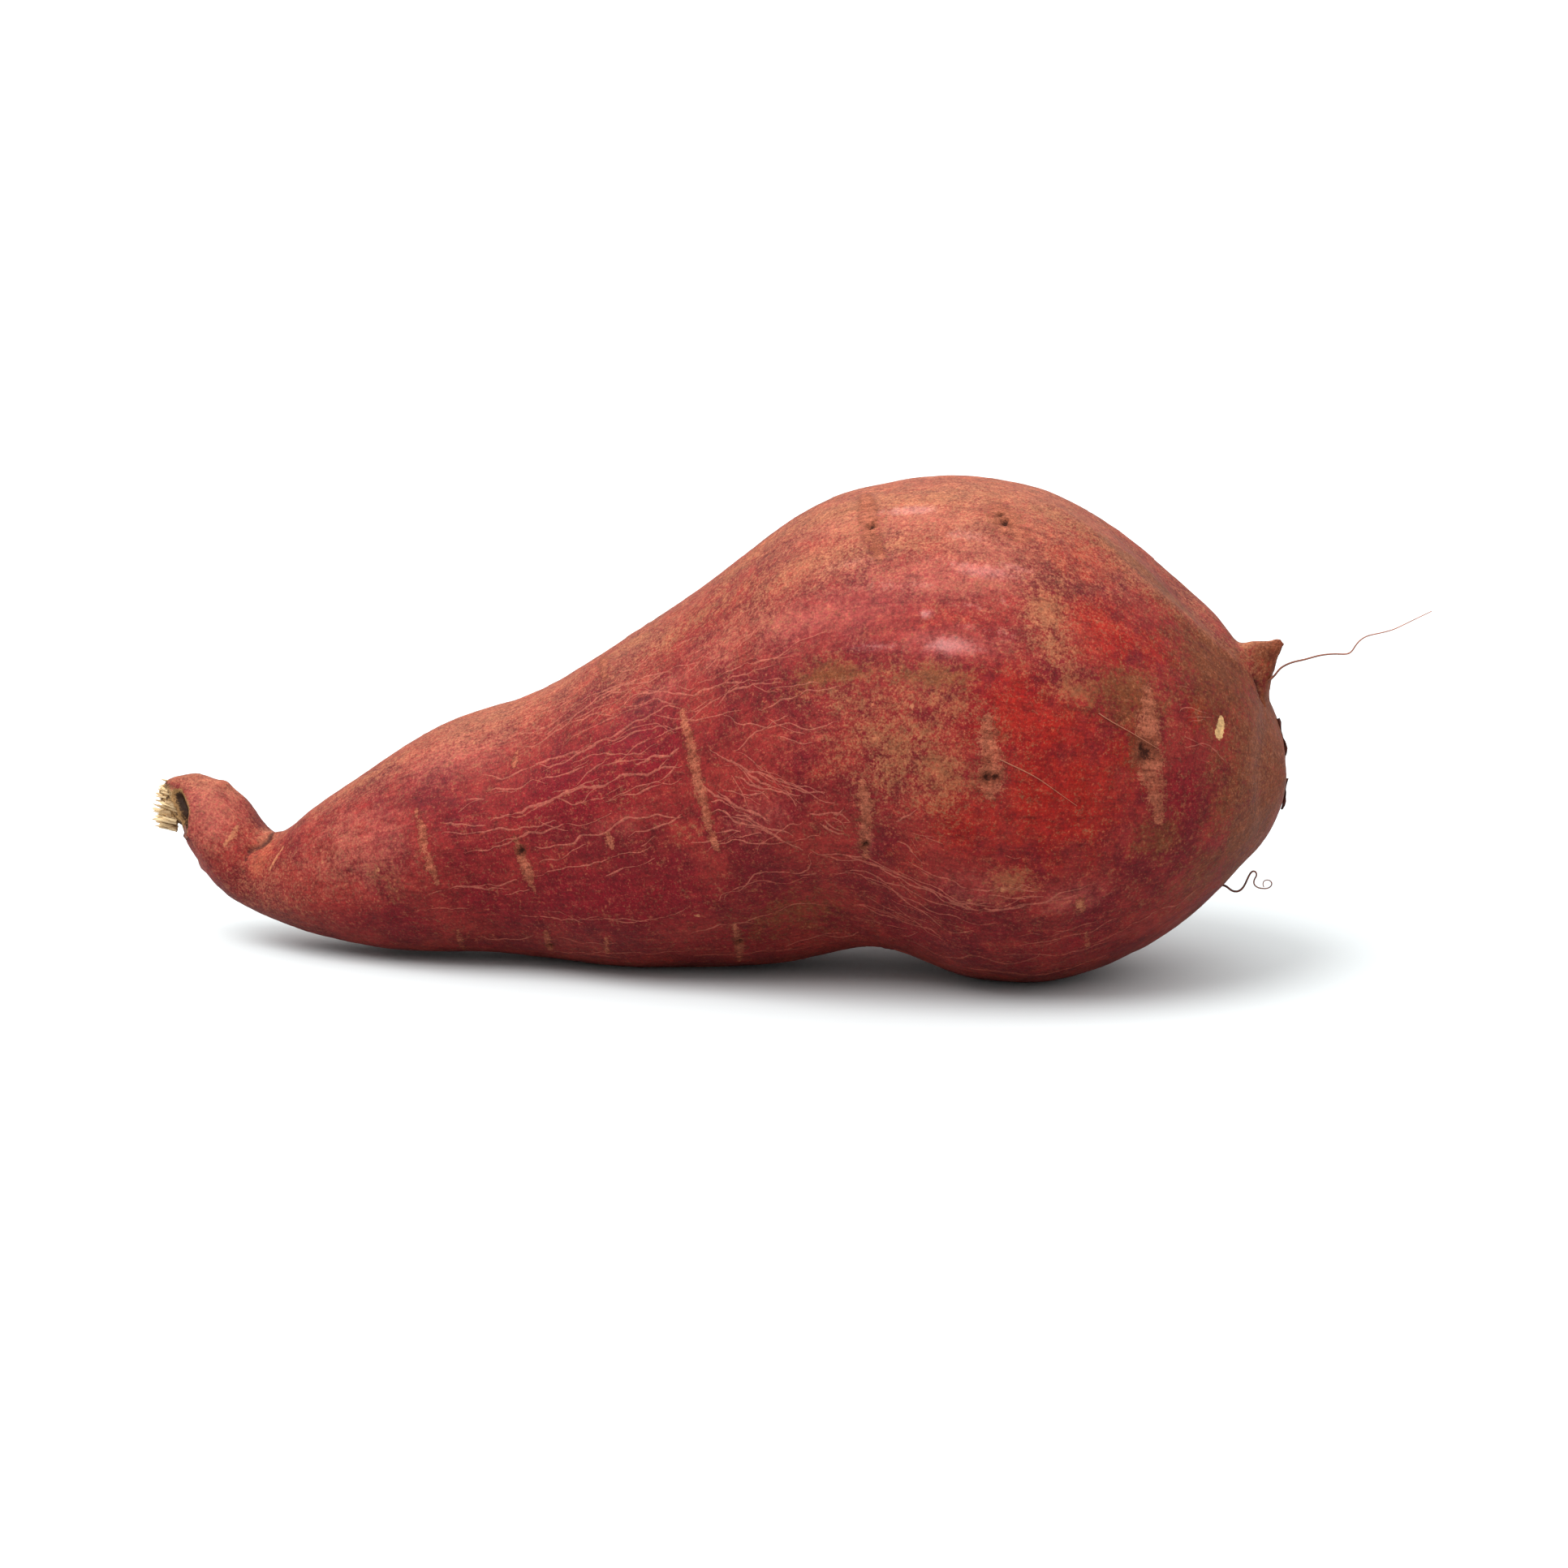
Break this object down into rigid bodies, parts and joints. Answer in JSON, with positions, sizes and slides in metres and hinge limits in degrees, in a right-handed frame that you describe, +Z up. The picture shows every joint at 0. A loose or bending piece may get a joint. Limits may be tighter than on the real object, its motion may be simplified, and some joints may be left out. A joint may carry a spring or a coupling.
{
  "type": "sweet potato",
  "caption": "Pear-shaped red-skinned sweet potato lying on its side, with a tapering neck, a bent broken stalk end, a thorn-shaped spur and fine hair roots.",
  "frame": {"origin": "middle of the bounding box's underside, on the surface that the root lies on", "axes": "+X from the broken stalk to the root end, +Y from the front to the back, +Z up"},
  "size_m": [0.1978, 0.0746, 0.0771],
  "materials": {
    "skin": "satin"
  },
  "bodies": {
    "root": {"sweet_potato": "skin"}
  },
  "joints": []
}
